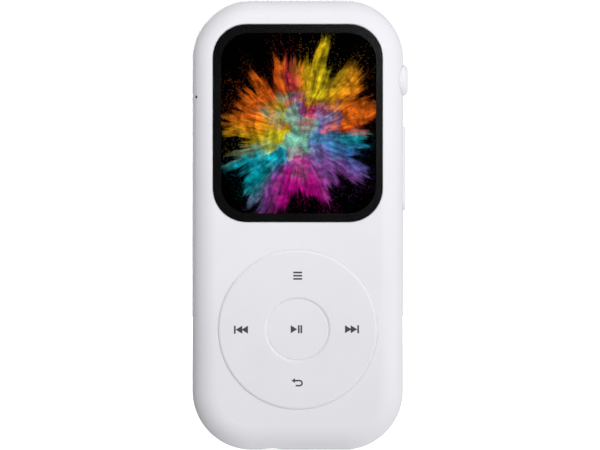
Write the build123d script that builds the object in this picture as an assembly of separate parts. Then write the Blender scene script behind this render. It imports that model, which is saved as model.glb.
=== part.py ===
from build123d import *

import os

# A pocket digital audio player in a two-part plastic casing. Millimetres throughout.
# +X is to the right as the display is read, -Y is the display side, and +Z is up along the casing.
# The origin is at the middle of the casing's bottom end.

os.makedirs("parts", exist_ok=True)

# --- Driving dimensions ---

# How far a cut reaches past the material that it opens, and the play between parts at rest
OVERCUT = 2.0
TOUCH_GAP = 0.01

# Casing
HEIGHT = 82.0
WIDTH = 38.4
DEPTH = 9.4
CORNER_RADIUS = 10.8
EDGE_RADIUS = 4.3
WALL = 1.2
FRONT_WALL = 1.35
INNER_EDGE_RADIUS = 2.8
SEAM_Y = 0.4
SEAM_GROOVE = 0.15
LIP_HEIGHT = 1.0
LIP_OUTER_INSET = 0.72
LIP_GAP = 0.1
FRONT = -DEPTH / 2
BACK = DEPTH / 2
INNER_FRONT = FRONT + FRONT_WALL
INNER_BACK = BACK - WALL

# Snap beads on the lip, by side and height
SNAP_BEADS = [(-1, 16.0), (-1, 46.0), (-1, 68.0), (1, 16.0), (1, 34.0)]
BEAD_RADIUS = 0.3
BEAD_LENGTH = 4.0
BEAD_POCKET_RADIUS = 0.4
BEAD_LIP_SHARE = 0.6

# Display
WINDOW_Z = 59.5
WINDOW_SIZE = (30.9, 36.0)
WINDOW_CORNER = 6.15
WINDOW_GAP = 0.08
WINDOW_FRONT = FRONT + 0.04
WINDOW_THICKNESS = 0.75
WINDOW_BEVEL = 0.1
OPENING_SIZE = (28.9, 33.5)
OPENING_CORNER = 5.4
TAPE_SIZE = (30.5, 35.6)
TAPE_CORNER = 5.95
TAPE_THICKNESS = 0.1
GASKET_SIZE = (29.8, 35.4)
GASKET_CORNER = 5.6
GASKET_THICKNESS = 0.2
CELL_SIZE = (30.1, 37.4)
CELL_CORNER = 4.5
CELL_THICKNESS = 0.9
POLARISER_SIZE = (28.6, 33.2)
POLARISER_CORNER = 5.25
POLARISER_THICKNESS = 0.23
BACKLIGHT_THICKNESS = 0.6
CELL_Z = WINDOW_Z - 1.1
LEDGE_Y = WINDOW_FRONT + WINDOW_THICKNESS + TAPE_THICKNESS
CELL_FRONT = INNER_FRONT + GASKET_THICKNESS
CELL_BACK = CELL_FRONT + CELL_THICKNESS
RIBBON_THICKNESS = 0.12
RIBBON_HALF_WIDTH = 6.0
RIBBON_BEND = 0.4
RIBBON_DEPTH_IN_CELL = 0.5
RIBBON_DROPS = (1.0, 2.1, 5.0)

# Main board
BOARD_FRONT = -1.4
BOARD_THICKNESS = 0.8
BOARD_BACK = BOARD_FRONT + BOARD_THICKNESS
BOARD_SIZE = (34.6, 78.2)
BOARD_CORNER = 9.1
SCREW_PLACES = [(-7.0, 78.9), (7.0, 78.9), (-14.5, 36.5), (14.5, 36.5), (-13.5, 8.0), (13.5, 8.0)]
SCREW_RADIUS = 0.62
SCREW_HEAD_RADIUS = 1.2
SCREW_HEAD_HEIGHT = 0.5
SCREW_LENGTH = 2.4
SCREW_SLOT = (1.5, 0.3)
SCREW_SLOT_DEPTH = 0.25
SCREW_HOLE_GAP = 0.15
PILOT_GAP = 0.06
PILOT_FLOOR = 0.15
BOSS_RADIUS = 1.4
BOSS_ROOT = 0.2
PORT_NOTCH_GAP = 0.3
PORT_NOTCH_END = 0.2
BUTTON_NOTCH = ((16.3, 20.0), (41.5, 72.5))
PIN_NOTCH_X = (15.6, 20.0)
PIN_NOTCH_HALF = 1.8

# Chips on the back of the board: middle (x, z), and size (across, up, thick)
CHIPS = {
    "processor_chip": (7.5, 29.5, 7.0, 7.0, 0.85),
    "memory_chip": (10.5, 16.0, 11.0, 12.0, 1.0),
    "radio_chip": (0.2, 26.0, 4.0, 4.0, 0.75),
    "charger_chip": (14.0, 25.0, 3.0, 3.0, 0.75),
    "crystal": (0.2, 31.5, 3.2, 2.5, 0.8),
    "power_inductor": (14.0, 29.6, 3.0, 3.0, 1.4),
    "antenna": (-15.6, 14.5, 2.0, 5.2, 1.1),
}

# Small components beside them: columns, rows, first place, pitch, and size
COMPONENT_GROUPS = [
    (5, 2, (4.7, 23.3), (1.5, 1.3), (1.0, 0.5, 0.5)),
    (4, 3, (-1.4, 17.2), (1.5, 1.5), (0.5, 1.0, 0.5)),
    (3, 3, (-13.0, 13.6), (2.0, 2.4), (0.8, 1.6, 0.8)),
]

# Control ring, centre button and the switches behind them
RING_Z = 22.0
RING_OUTER = 14.52
RING_INNER = 5.6
RING_GAP = 0.06
RING_FRONT = FRONT - 0.3
RING_PLATE_BACK = -3.8
RING_EDGE = 0.5
RING_RIM_EDGE = 0.06
RING_SKIRT = 1.2
FLANGE_OUTER = 15.3
FLANGE_FRONT = -2.95
FLANGE_BACK = -2.55
SLEEVE_THICKNESS = 0.9
SLEEVE_BACK = -3.4
PAD_INNER = 7.2
PAD_OUTER = 13.0
PAD_FRONT = -3.45
PAD_BACK = -2.95
CENTRE_RADIUS = 5.54
CENTRE_EDGE = 0.2
CENTRE_WALL = 0.9
CENTRE_FRONT = FRONT - 0.08
CENTRE_PLATE_BACK = -3.9
CENTRE_FLANGE_RADIUS = 6.7
CENTRE_FLANGE_FRONT = -3.0
CENTRE_FLANGE_BACK = -2.75
SWITCH_RING_RADIUS = 10.0
SWITCH_SIZE = 3.0
SWITCH_CORNER = 0.3
SWITCH_FRONT = -2.2
PLUNGER_RADIUS = 0.7
PLUNGER_FRONT = -2.6
PLUNGER_BACK = -1.8
POCKET_RADIUS = 0.88
POCKET_BACK = -1.5
POST_RADIUS = 1.0
POST_GAP = 0.5

# Side buttons
POWER_Z = 67.4
POWER_RADIUS = 2.85
POWER_PROUD = 0.83
POWER_EDGE = 1.0
POWER_FLANGE = (3.2, 7.6)
POWER_HOLE_X = 15.9
ROCKER_Z = 51.3
ROCKER_LENGTH = 15.3
ROCKER_WIDTH = 2.6
ROCKER_CORNER = 1.29
ROCKER_PROUD = 0.4
ROCKER_EDGE = 0.4
ROCKER_FLANGE = (3.0, 16.8)
ROCKER_HUB_X = (16.45, 17.6)
ROCKER_HUB_HALF = (1.5, 0.95)
BUTTON_GAP = 0.17
BUTTON_INNER_X = 16.9
BUTTON_FLANGE = 0.5
FLANGE_CORNER = 0.5
PIN_X = 17.15
PIN_RADIUS = 0.45
PIN_HALF_LENGTH = 2.4
PIN_FIT = 0.02
PIN_BEARING_GAP = 0.04
PIN_EAR_X = (16.45, 17.9)
PIN_EAR_Y = (1.75, 2.6)
PIN_EAR_HALF = 1.3
SIDE_SWITCH_X = (13.7, 15.9)
SIDE_SWITCH_Y = (BOARD_BACK, 1.1)
SIDE_SWITCH_HALF_LENGTH = 2.3
SIDE_POCKET_X = (14.9, 16.5)
SIDE_POCKET_HALF = (0.55, 1.05)
SIDE_PLUNGER_HALF = (0.4, 0.8)
SIDE_PLUNGER_Y = 0.2
SIDE_PLUNGER_X = (15.35, BUTTON_INNER_X)
VOLUME_SWITCH_OFFSET = 4.8

# Ports
PORT_Y = 0.6
JACK_X = -4.7
JACK_BORE = 1.8
JACK_NOSE = 2.5
JACK_HALF_WIDTH = 2.6
JACK_HOLE_GAP = 0.1
JACK_FOOT_Z = (5.0, 12.0)
JACK_FOOT_SIZE = (1.0, 0.2, 1.2)
JACK_MOUTH_Z = 1.0
JACK_BODY_Z = 2.9
JACK_BORE_END_Z = 14.3
JACK_END_Z = 14.9
USB_X = 5.6
USB_OUTER = (8.94, 3.26)
USB_CORNER = 1.62
USB_WALL = 0.3
USB_Z = (0.45, 7.75)
USB_HOLE_GAP = 0.18
USB_HOLE_CORNER = 1.79
USB_HOLE_Z = 2.6
TONGUE_SIZE = (6.7, 0.7)
TONGUE_RECESS = 1.1
TONGUE_BASE_GAP = 0.05
TONGUE_BASE_CORNER = 1.27
TONGUE_BASE_DEPTH = 1.25
CARD_Z = 27.8
CARD_Y = 0.45
CARD_SOCKET_X = (-17.2, -3.2)
CARD_SOCKET_LENGTH = 14.5
CARD_SOCKET_HALF_OPENING = 0.6
CARD_SOCKET_RAIL = 0.9
CARD_SOCKET_STOP = 1.0
CARD_COVER_THICKNESS = 0.2
CARD_SLOT = (1.3, 12.2)
CARD_SLOT_CORNER = 0.6
CARD_SLOT_X = -17.3
MIC_HOLE_Y = -2.8
MIC_HOLE_RADIUS = 0.28
MIC_Z = 64.3
MIC_HOLE_X = -16.6
MIC_X = (-16.95, -15.25)
MIC_FRONT = -2.3
MIC_HALF_LENGTH = 1.4
BOOT_X = (-17.5, -15.25)
BOOT_FRONT = -3.2
BOOT_HALF_LENGTH = 1.3
BOOT_GAP = 0.03
BOOT_CHANNEL_X = -15.95

# Battery
BATTERY_X = -1.1
BATTERY_Z = 57.8
BATTERY_SIZE = (27.0, 33.0)
BATTERY_THICKNESS = 3.0
BATTERY_CORNER = 1.2
BATTERY_EDGE = 0.6
BATTERY_TAPE = 0.12
BATTERY_TAPE_SIZE = (22.0, 28.0)
BATTERY_TAPE_CORNER = 1.0
STRIP_HALF_LENGTH = 11.4
STRIP_Y = (1.4, 2.2)
STRIP_HEIGHT = 2.3
STRIP_LOW_Z = BATTERY_Z - BATTERY_SIZE[1] / 2 - STRIP_HEIGHT
RIB_FRONT = 2.0
RIB_HALF_THICKNESS = 0.4
RIB_HALF_LENGTHS = (9.0, 12.0)
RIB_GAP = 0.7
LEAD_PLACES = {"red": 7.4, "black": 9.0}
LEAD_RADIUS = 0.4
LEAD_BEND = 1.0
LEAD_Y = 1.8
LEAD_DROPS = (1.4, 3.4, 4.6)


# --- Shapes used throughout ---


def slab(sketch, front, back):
    """A sketch drawn in X and Z, made solid from y = front to y = back."""
    return extrude(Plane.XZ.offset(-back) * sketch, amount=back - front)


def side_slab(sketch, low, high):
    """A sketch drawn in Y and Z, made solid from x = low to x = high."""
    return extrude(Plane.YZ.offset(low) * sketch, amount=high - low)


def level_slab(sketch, low, high):
    """A sketch drawn in X and Y, made solid from z = low to z = high."""
    return extrude(Plane.XY.offset(low) * sketch, amount=high - low)


def block(x_span, y_span, z_span):
    """A box from its spans along X, Y and Z."""
    spans = (x_span, y_span, z_span)
    middle = [(low + high) / 2 for low, high in spans]
    size = [high - low for low, high in spans]
    return Pos(*middle) * Box(*size)


def around(middle, half):
    """The span that reaches half each way from middle."""
    return (middle - half, middle + half)


def disc(x, z, radius, front, back):
    return slab(Pos(x, z) * Circle(radius), front, back)


def hoop(x, z, outer, inner, front, back):
    return slab(Pos(x, z) * (Circle(outer) - Circle(inner)), front, back)


def panel(x, z, size, corner, front, back):
    return slab(Pos(x, z) * RectangleRounded(*size, corner), front, back)


def chip(x, z, width, height, thickness):
    """A component on the back of the main board."""
    return block(around(x, width / 2), (BOARD_BACK, BOARD_BACK + thickness), around(z, height / 2))


def pillow(inset, front, back, edge_radius):
    """The casing's outline, drawn in by inset, with both long rims rounded."""
    outline = RectangleRounded(WIDTH - 2 * inset, HEIGHT - 2 * inset, CORNER_RADIUS - inset)
    body = slab(Pos(0, HEIGHT / 2) * outline, front, back)
    faces = body.faces().sort_by(Axis.Y)
    return fillet(faces[0].edges() + faces[-1].edges(), edge_radius)


def inset_casing(inset):
    """The casing's outer shape with the same depth taken off all over."""
    return pillow(inset, FRONT + inset, BACK - inset, EDGE_RADIUS - inset)


def casing_cavity():
    return pillow(WALL, INNER_FRONT, INNER_BACK, INNER_EDGE_RADIUS)


def y_between(low, high):
    """A block wider than the casing, from y = low to y = high."""
    return block((-WIDTH, WIDTH), (low, high), (-OVERCUT, HEIGHT + OVERCUT))


# --- Casing ---


def snap_beads(radius):
    """Short beads along both sides of the lip, which click into pockets of the front shell."""
    y = SEAM_Y - BEAD_LIP_SHARE * LIP_HEIGHT
    beads = []
    for side, z in SNAP_BEADS:
        place = Pos(side * (WIDTH / 2 - LIP_OUTER_INSET), y, z)
        beads.append(place * Cylinder(radius, BEAD_LENGTH))
    return beads


def casing_openings():
    """Everything that passes through the sides and the bottom end of the casing."""
    left = -WIDTH / 2 - OVERCUT
    right = WIDTH / 2 + OVERCUT
    power = side_slab(Pos(0, POWER_Z) * Circle(POWER_RADIUS + BUTTON_GAP), POWER_HOLE_X, right)
    rocker_outline = RectangleRounded(
        ROCKER_WIDTH + 2 * BUTTON_GAP, ROCKER_LENGTH + 2 * BUTTON_GAP, ROCKER_WIDTH / 2
    )
    rocker = side_slab(Pos(0, ROCKER_Z) * rocker_outline, BUTTON_INNER_X, right)
    card_outline = RectangleRounded(*CARD_SLOT, CARD_SLOT_CORNER)
    card = side_slab(Pos(CARD_Y, CARD_Z) * card_outline, left, CARD_SLOT_X)
    jack_outline = Circle(JACK_NOSE + JACK_HOLE_GAP)
    jack = level_slab(Pos(JACK_X, PORT_Y) * jack_outline, -OVERCUT, JACK_BODY_Z + JACK_HOLE_GAP)
    usb_size = [side + 2 * USB_HOLE_GAP for side in USB_OUTER]
    usb_outline = RectangleRounded(*usb_size, USB_HOLE_CORNER)
    usb = level_slab(Pos(USB_X, PORT_Y) * usb_outline, -OVERCUT, USB_HOLE_Z)
    microphone = side_slab(Pos(MIC_HOLE_Y, MIC_Z) * Circle(MIC_HOLE_RADIUS), left, MIC_HOLE_X)
    return [power, rocker, card, jack, usb, microphone]


def pin_ear(front, back):
    """A block on the right wall that holds one end of the rocker's pin."""
    return block(PIN_EAR_X, (front, back), around(ROCKER_Z, PIN_EAR_HALF))


def pin_hole():
    reach = PIN_HALF_LENGTH + PIN_FIT
    return disc(PIN_X, ROCKER_Z, PIN_RADIUS + PIN_FIT, -reach, reach)


def front_shell():
    shell = (inset_casing(0) & y_between(FRONT - OVERCUT, SEAM_Y)) - casing_cavity()
    rebate = inset_casing(LIP_OUTER_INSET - LIP_GAP) & y_between(SEAM_Y - LIP_HEIGHT - LIP_GAP, SEAM_Y)
    groove = y_between(SEAM_Y - SEAM_GROOVE, SEAM_Y) - inset_casing(SEAM_GROOVE)
    shell = shell - rebate - groove
    for x, z in SCREW_PLACES:
        shell += disc(x, z, BOSS_RADIUS, INNER_FRONT - BOSS_ROOT, BOARD_FRONT)
        shell -= disc(x, z, SCREW_RADIUS + PILOT_GAP, INNER_FRONT + PILOT_FLOOR, BOARD_FRONT)
    shell += pin_ear(-PIN_EAR_Y[1], -PIN_EAR_Y[0])
    recess_size = [side + 2 * WINDOW_GAP for side in WINDOW_SIZE]
    shell -= panel(0, WINDOW_Z, recess_size, WINDOW_CORNER + WINDOW_GAP, FRONT - OVERCUT, LEDGE_Y)
    through = (FRONT - OVERCUT, INNER_FRONT + OVERCUT / 2)
    shell -= panel(0, WINDOW_Z, OPENING_SIZE, OPENING_CORNER, *through)
    shell -= disc(0, RING_Z, RING_OUTER + RING_GAP, *through)
    shell = shell - casing_openings() - snap_beads(BEAD_POCKET_RADIUS) - pin_hole()
    rim = shell.edges().filter_by(GeomType.CIRCLE).filter_by(
        lambda edge: abs(edge.radius - RING_OUTER - RING_GAP) < 0.01 and edge.center().Y < FRONT + 0.01
    )
    return fillet(rim, RING_RIM_EDGE)


def battery_ribs():
    """Ribs inside the rear shell, one above the battery and one on each side of it."""
    reach = (RIB_FRONT, INNER_BACK + WALL / 2)
    above = BATTERY_Z + BATTERY_SIZE[1] / 2 + RIB_GAP
    ribs = [block(around(BATTERY_X, RIB_HALF_LENGTHS[0]), reach, around(above, RIB_HALF_THICKNESS))]
    for side in (-1, 1):
        x = BATTERY_X + side * (BATTERY_SIZE[0] / 2 + RIB_GAP)
        ribs.append(block(around(x, RIB_HALF_THICKNESS), reach, around(BATTERY_Z, RIB_HALF_LENGTHS[1])))
    return ribs


def rear_shell():
    shell = (inset_casing(0) & y_between(SEAM_Y, BACK + OVERCUT)) - casing_cavity()
    lip = (inset_casing(LIP_OUTER_INSET) - casing_cavity()) & y_between(SEAM_Y - LIP_HEIGHT, SEAM_Y)
    shell = shell + lip + snap_beads(BEAD_RADIUS)
    shell -= casing_cavity()
    shell += pin_ear(*PIN_EAR_Y)
    shell = shell + battery_ribs()
    return shell - casing_openings() - pin_hole()


# --- Display ---


def display_window():
    window = panel(
        0, WINDOW_Z, WINDOW_SIZE, WINDOW_CORNER, WINDOW_FRONT, WINDOW_FRONT + WINDOW_THICKNESS
    )
    return chamfer(window.faces().sort_by(Axis.Y)[0].edges(), WINDOW_BEVEL)


def frame_of(outer, outer_corner, front, back):
    """A flat frame round the display opening."""
    frame = panel(0, WINDOW_Z, outer, outer_corner, front, back)
    return frame - panel(0, WINDOW_Z, OPENING_SIZE, OPENING_CORNER, front - OVERCUT, back + OVERCUT)


def window_adhesive():
    return frame_of(TAPE_SIZE, TAPE_CORNER, LEDGE_Y - TAPE_THICKNESS, LEDGE_Y)


def display_gasket():
    return frame_of(GASKET_SIZE, GASKET_CORNER, INNER_FRONT, CELL_FRONT)


def display_cell():
    cell = panel(0, CELL_Z, CELL_SIZE, CELL_CORNER, CELL_FRONT, CELL_BACK)
    return cell + panel(
        0, WINDOW_Z, POLARISER_SIZE, POLARISER_CORNER, CELL_FRONT - POLARISER_THICKNESS, CELL_FRONT
    )


def display_backlight():
    return panel(0, CELL_Z, CELL_SIZE, CELL_CORNER, CELL_BACK, CELL_BACK + BACKLIGHT_THICKNESS)


def display_ribbon():
    """The flexible ribbon from the cell's lower edge to the front of the main board."""
    start_y = CELL_FRONT + RIBBON_DEPTH_IN_CELL
    end_y = BOARD_FRONT - RIBBON_THICKNESS / 2 - TOUCH_GAP
    bottom = CELL_Z - CELL_SIZE[1] / 2
    first, second, last = [bottom - drop for drop in RIBBON_DROPS]
    route = FilletPolyline(
        (start_y, bottom), (start_y, first), (end_y, second), (end_y, last), radius=RIBBON_BEND
    )
    return side_slab(trace(route, line_width=RIBBON_THICKNESS), -RIBBON_HALF_WIDTH, RIBBON_HALF_WIDTH)


# --- Main board and what is on it ---


def main_board():
    board = panel(0, HEIGHT / 2, BOARD_SIZE, BOARD_CORNER, BOARD_FRONT, BOARD_BACK)
    through = (BOARD_FRONT - OVERCUT, BOARD_BACK + OVERCUT)
    jack_half = JACK_HALF_WIDTH + PORT_NOTCH_GAP
    usb_half = USB_OUTER[0] / 2 + PORT_NOTCH_GAP
    board -= block(around(JACK_X, jack_half), through, (0, JACK_END_Z + PORT_NOTCH_END))
    board -= block(around(USB_X, usb_half), through, (0, USB_Z[1] + PORT_NOTCH_END))
    board -= block(BUTTON_NOTCH[0], through, BUTTON_NOTCH[1])
    board -= block(PIN_NOTCH_X, through, around(ROCKER_Z, PIN_NOTCH_HALF))
    for x, z in SCREW_PLACES:
        board -= disc(x, z, SCREW_RADIUS + SCREW_HOLE_GAP, *through)
    return board


def board_screws():
    screws = []
    for x, z in SCREW_PLACES:
        shank = disc(x, z, SCREW_RADIUS, BOARD_BACK - SCREW_LENGTH, BOARD_BACK)
        head = disc(x, z, SCREW_HEAD_RADIUS, BOARD_BACK, BOARD_BACK + SCREW_HEAD_HEIGHT)
        cross = Rectangle(*SCREW_SLOT) + Rectangle(*reversed(SCREW_SLOT))
        slot_floor = BOARD_BACK + SCREW_HEAD_HEIGHT - SCREW_SLOT_DEPTH
        head -= slab(Pos(x, z) * cross, slot_floor, BOARD_BACK + OVERCUT)
        screws.append(shank + head)
    return Compound(screws)


def small_components():
    """Capacitors and resistors in rows on the back of the board."""
    parts = []
    for columns, rows, first, pitch, size in COMPONENT_GROUPS:
        for column in range(columns):
            for row in range(rows):
                x = first[0] + pitch[0] * column
                z = first[1] + pitch[1] * row
                parts.append(chip(x, z, *size))
    return Compound(parts)


def headphone_jack():
    jack = block(
        around(JACK_X, JACK_HALF_WIDTH), around(PORT_Y, JACK_HALF_WIDTH), (JACK_BODY_Z, JACK_END_Z)
    )
    jack += level_slab(Pos(JACK_X, PORT_Y) * Circle(JACK_NOSE), JACK_MOUTH_Z, JACK_BODY_Z)
    bore = Pos(JACK_X, PORT_Y) * Circle(JACK_BORE)
    return jack - level_slab(bore, JACK_MOUTH_Z - OVERCUT, JACK_BORE_END_Z)


def jack_contacts():
    """The jack's solder feet, two on each side."""
    width, thickness, length = JACK_FOOT_SIZE
    feet = []
    for z in JACK_FOOT_Z:
        for side in (-1, 1):
            x = JACK_X + side * (JACK_HALF_WIDTH + width / 2)
            feet.append(chip(x, z, width, length, thickness))
    return Compound(feet)


def usb_port_shell():
    inner_size = [side - 2 * USB_WALL for side in USB_OUTER]
    shell = level_slab(Pos(USB_X, PORT_Y) * RectangleRounded(*USB_OUTER, USB_CORNER), *USB_Z)
    hollow = RectangleRounded(*inner_size, USB_CORNER - USB_WALL)
    return shell - level_slab(Pos(USB_X, PORT_Y) * hollow, USB_Z[0] - OVERCUT, USB_Z[1] - USB_WALL)


def usb_port_tongue():
    base_size = [side - 2 * USB_WALL - 2 * TONGUE_BASE_GAP for side in USB_OUTER]
    base_outline = RectangleRounded(*base_size, TONGUE_BASE_CORNER)
    back = USB_Z[1] - USB_WALL
    front = back - TONGUE_BASE_DEPTH
    base = level_slab(Pos(USB_X, PORT_Y) * base_outline, front, back)
    blade = level_slab(Pos(USB_X, PORT_Y) * Rectangle(*TONGUE_SIZE), USB_Z[0] + TONGUE_RECESS, front)
    return base + blade


def card_socket_base():
    low_z, high_z = around(CARD_Z, CARD_SOCKET_LENGTH / 2)
    opening = around(CARD_Y, CARD_SOCKET_HALF_OPENING)
    end_x = CARD_SOCKET_X[1]
    base = block(CARD_SOCKET_X, (BOARD_BACK, opening[0]), (low_z, high_z))
    base += block(CARD_SOCKET_X, opening, (low_z, low_z + CARD_SOCKET_RAIL))
    base += block(CARD_SOCKET_X, opening, (high_z - CARD_SOCKET_RAIL, high_z))
    return base + block((end_x - CARD_SOCKET_STOP, end_x), opening, (low_z, high_z))


def card_socket_cover():
    roof_y = CARD_Y + CARD_SOCKET_HALF_OPENING
    thickness = (roof_y, roof_y + CARD_COVER_THICKNESS)
    return block(CARD_SOCKET_X, thickness, around(CARD_Z, CARD_SOCKET_LENGTH / 2))


def microphone():
    return block(MIC_X, (MIC_FRONT, BOARD_FRONT), around(MIC_Z, MIC_HALF_LENGTH))


def microphone_boot():
    """A rubber block that seals the pinhole to the microphone with an angled sound channel."""
    boot = block(BOOT_X, (BOOT_FRONT, MIC_FRONT), around(MIC_Z, BOOT_HALF_LENGTH))
    boot &= pillow(WALL + BOOT_GAP, INNER_FRONT + BOOT_GAP, INNER_BACK, INNER_EDGE_RADIUS)
    hole = Pos(MIC_HOLE_Y, MIC_Z) * Circle(MIC_HOLE_RADIUS)
    boot -= side_slab(hole, BOOT_X[0] - OVERCUT, BOOT_CHANNEL_X)
    return boot - disc(BOOT_CHANNEL_X, MIC_Z, MIC_HOLE_RADIUS, MIC_HOLE_Y, MIC_FRONT + OVERCUT)


# --- Battery ---


def battery():
    front = INNER_BACK - BATTERY_TAPE - BATTERY_THICKNESS
    pouch = panel(BATTERY_X, BATTERY_Z, BATTERY_SIZE, BATTERY_CORNER, front, front + BATTERY_THICKNESS)
    faces = pouch.faces().sort_by(Axis.Y)
    return fillet(faces[0].edges() + faces[-1].edges(), BATTERY_EDGE)


def battery_adhesive():
    thickness = (INNER_BACK - BATTERY_TAPE, INNER_BACK)
    return panel(BATTERY_X, BATTERY_Z, BATTERY_TAPE_SIZE, BATTERY_TAPE_CORNER, *thickness)


def battery_board():
    """The strip with the protection circuit, folded against the pouch's lower end."""
    return block(around(BATTERY_X, STRIP_HALF_LENGTH), STRIP_Y, (STRIP_LOW_Z, STRIP_LOW_Z + STRIP_HEIGHT))


def battery_lead(x):
    """One lead from the protection strip to its solder pad on the main board."""
    board_y = BOARD_BACK + LEAD_RADIUS + TOUCH_GAP
    start = (x, LEAD_Y, STRIP_LOW_Z)
    first, second, last = [STRIP_LOW_Z - drop for drop in LEAD_DROPS]
    route = FilletPolyline(
        start, (x, LEAD_Y, first), (x, board_y, second), (x, board_y, last), radius=LEAD_BEND
    )
    return sweep(Plane(origin=start, z_dir=(0, 0, -1)) * Circle(LEAD_RADIUS), path=route)


# --- Control ring and centre button ---


def ring_places(directions):
    """Centres of the ring's switches in the given directions, such as (1, 0) for the right one."""
    return [(SWITCH_RING_RADIUS * across, RING_Z + SWITCH_RING_RADIUS * up) for across, up in directions]


VERTICAL = ring_places([(0, 1), (0, -1)])
HORIZONTAL = ring_places([(-1, 0), (1, 0)])


def switch_body(x, z):
    body = panel(x, z, (SWITCH_SIZE, SWITCH_SIZE), SWITCH_CORNER, SWITCH_FRONT, BOARD_FRONT)
    return body - disc(x, z, POCKET_RADIUS, SWITCH_FRONT - OVERCUT, POCKET_BACK)


def plunger(x, z):
    return disc(x, z, PLUNGER_RADIUS, PLUNGER_FRONT, PLUNGER_BACK)


def control_ring():
    ring = hoop(0, RING_Z, RING_OUTER, RING_INNER, RING_FRONT, RING_PLATE_BACK)
    face = ring.faces().sort_by(Axis.Y)[0]
    ring = fillet(face.edges(), RING_EDGE)
    skirt_inner = RING_OUTER - RING_SKIRT
    ring += hoop(0, RING_Z, RING_OUTER, skirt_inner, RING_PLATE_BACK, FLANGE_BACK)
    ring += hoop(0, RING_Z, FLANGE_OUTER, skirt_inner, FLANGE_FRONT, FLANGE_BACK)
    ring += hoop(0, RING_Z, RING_INNER + SLEEVE_THICKNESS, RING_INNER, RING_PLATE_BACK, SLEEVE_BACK)
    for x, z in HORIZONTAL:
        ring += disc(x, z, POST_RADIUS, RING_PLATE_BACK, PLUNGER_FRONT)
    return ring


def keypad_pad():
    """The soft ring inside the control ring, with a nub over the upper and the lower switch."""
    pad = hoop(0, RING_Z, PAD_OUTER, PAD_INNER, PAD_FRONT, PAD_BACK)
    for x, z in HORIZONTAL:
        pad -= disc(x, z, POST_RADIUS + POST_GAP, PAD_FRONT - OVERCUT, PAD_BACK + OVERCUT)
    for x, z in VERTICAL:
        pad += disc(x, z, POST_RADIUS, PAD_BACK, PLUNGER_FRONT)
    return pad


def centre_button():
    button = disc(0, RING_Z, CENTRE_RADIUS, CENTRE_FRONT, CENTRE_FLANGE_BACK)
    button = fillet(button.faces().sort_by(Axis.Y)[0].edges(), CENTRE_EDGE)
    button += disc(0, RING_Z, CENTRE_FLANGE_RADIUS, CENTRE_FLANGE_FRONT, CENTRE_FLANGE_BACK)
    button -= disc(0, RING_Z, CENTRE_RADIUS - CENTRE_WALL, CENTRE_PLATE_BACK, CENTRE_FLANGE_BACK + OVERCUT)
    return button + disc(0, RING_Z, POST_RADIUS, CENTRE_PLATE_BACK, PLUNGER_FRONT)


# --- Side buttons ---


def side_switch(z):
    body = block(SIDE_SWITCH_X, SIDE_SWITCH_Y, around(z, SIDE_SWITCH_HALF_LENGTH))
    y_half, z_half = SIDE_POCKET_HALF
    return body - block(SIDE_POCKET_X, around(SIDE_PLUNGER_Y, y_half), around(z, z_half))


def side_plunger(z):
    y_half, z_half = SIDE_PLUNGER_HALF
    return block(SIDE_PLUNGER_X, around(SIDE_PLUNGER_Y, y_half), around(z, z_half))


def button_flange(z, size):
    """The thin plate inside the wall that keeps a side button from falling out."""
    outline = Pos(0, z) * RectangleRounded(*size, FLANGE_CORNER)
    return side_slab(outline, BUTTON_INNER_X, BUTTON_INNER_X + BUTTON_FLANGE)


def power_button():
    button = side_slab(Pos(0, POWER_Z) * Circle(POWER_RADIUS), BUTTON_INNER_X, WIDTH / 2 + POWER_PROUD)
    button = fillet(button.faces().sort_by(Axis.X)[-1].edges(), POWER_EDGE)
    return button + button_flange(POWER_Z, POWER_FLANGE)


def volume_rocker():
    cap_outline = RectangleRounded(ROCKER_WIDTH, ROCKER_LENGTH, ROCKER_CORNER)
    cap = side_slab(Pos(0, ROCKER_Z) * cap_outline, BUTTON_INNER_X, WIDTH / 2 + ROCKER_PROUD)
    cap = fillet(cap.faces().sort_by(Axis.X)[-1].edges(), ROCKER_EDGE)
    y_half, z_half = ROCKER_HUB_HALF
    hub = block(ROCKER_HUB_X, (-y_half, y_half), around(ROCKER_Z, z_half))
    bearing = disc(PIN_X, ROCKER_Z, PIN_RADIUS + PIN_BEARING_GAP, -PIN_HALF_LENGTH, PIN_HALF_LENGTH)
    return cap + button_flange(ROCKER_Z, ROCKER_FLANGE) + hub - bearing


def rocker_pin():
    return disc(PIN_X, ROCKER_Z, PIN_RADIUS, -PIN_HALF_LENGTH, PIN_HALF_LENGTH)


# --- The whole player ---

VOLUME_SWITCHES = [ROCKER_Z - VOLUME_SWITCH_OFFSET, ROCKER_Z + VOLUME_SWITCH_OFFSET]

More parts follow.
